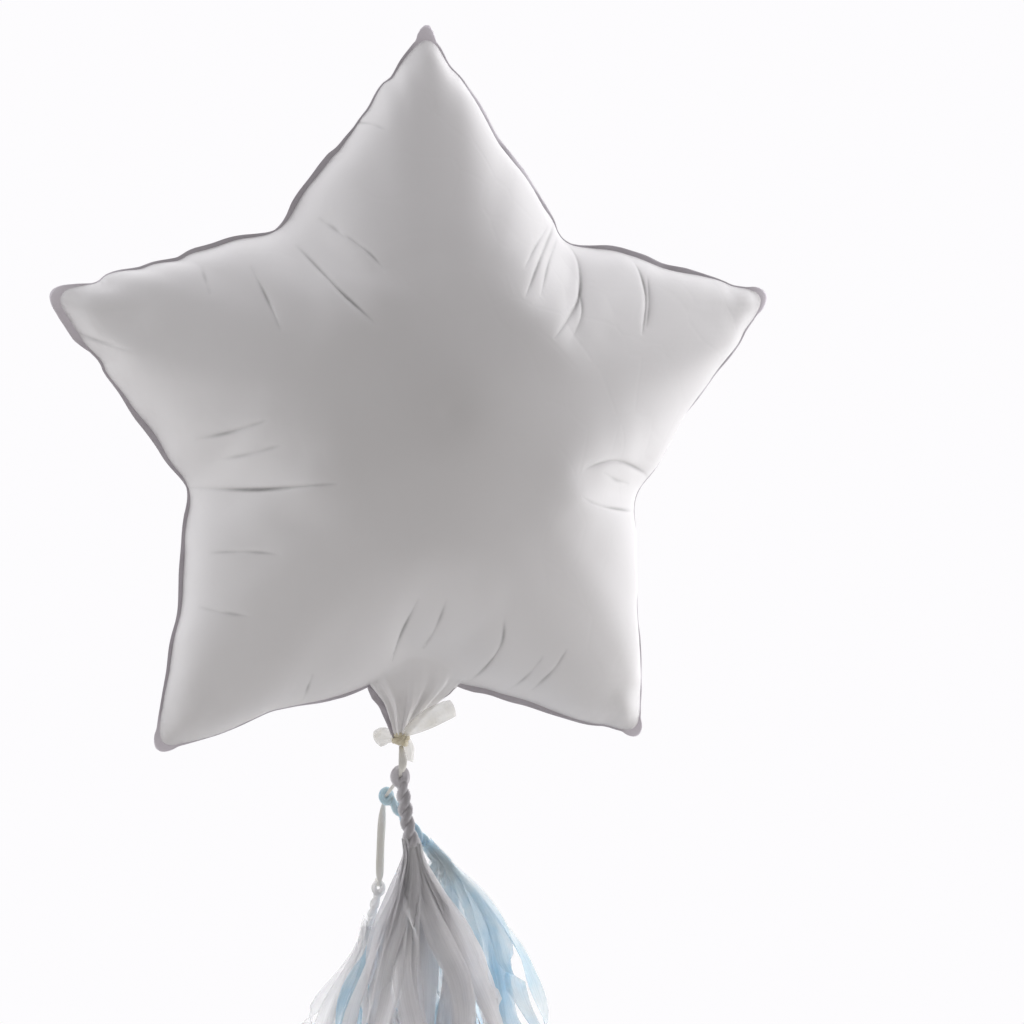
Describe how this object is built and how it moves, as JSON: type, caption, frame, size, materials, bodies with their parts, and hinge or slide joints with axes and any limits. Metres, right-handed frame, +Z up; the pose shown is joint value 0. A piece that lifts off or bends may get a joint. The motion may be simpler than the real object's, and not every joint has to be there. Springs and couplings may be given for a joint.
{
  "type": "star foil balloon with tissue tassels",
  "caption": "Inflated star foil balloon with a welded rim and tied tail, its ribbon carrying tissue tassels that swing at their eyes.",
  "frame": {"origin": "middle of the star on its seam plane, where the lift of the filling acts", "axes": "+Z up, the face shown in the picture towards -Y, +X to the viewer's right of that face"},
  "size_m": [0.4766, 0.2098, 0.8694],
  "materials": {
    "foil": "white satin foil film",
    "foil_seal": "welded foil margin",
    "clear_film": "translucent cream film",
    "ribbon": "cream curling ribbon",
    "grey_tissue": "grey tissue paper",
    "blue_tissue": "light blue tissue paper",
    "white_tissue": "white tissue paper"
  },
  "bodies": {
    "balloon": {"front_panel": "foil", "back_panel": "foil", "rim_seal": "foil_seal", "neck_tail": "foil", "filling_tail_end": "clear_film", "ribbon_knot": "ribbon", "ribbon_end_left": "clear_film", "ribbon_end_right": "clear_film"},
    "ribbon": {"tassel_ribbon": "ribbon"},
    "grey_tassel": {"grey_tassel_rope": "grey_tissue", "grey_tassel_skirt": "grey_tissue"},
    "blue_tassel": {"blue_tassel_rope": "blue_tissue", "blue_tassel_skirt": "blue_tissue"},
    "white_tassel": {"white_tassel_rope": "white_tissue", "white_tassel_skirt": "white_tissue"}
  },
  "joints": [
    {"name": "ribbon_swing", "type": "hinge", "parent": "balloon", "child": "ribbon", "pos_m": [-0.006, 0, -0.2096], "axis": [1, 0, 0], "range_deg": [-20, 20]},
    {"name": "grey_tassel_swing", "type": "hinge", "parent": "ribbon", "child": "grey_tassel", "pos_m": [-0.0086, -0.008, -0.2282], "axis": [0, -1, 0], "range_deg": [-30, 30]},
    {"name": "blue_tassel_swing", "type": "hinge", "parent": "ribbon", "child": "blue_tassel", "pos_m": [-0.0145, 0.0055, -0.2421], "axis": [0, -1, 0], "range_deg": [0, 30]},
    {"name": "white_tassel_swing", "type": "hinge", "parent": "ribbon", "child": "white_tassel", "pos_m": [-0.0171, 0.017, -0.303], "axis": [0, 1, 0], "range_deg": [0, 30]}
  ]
}
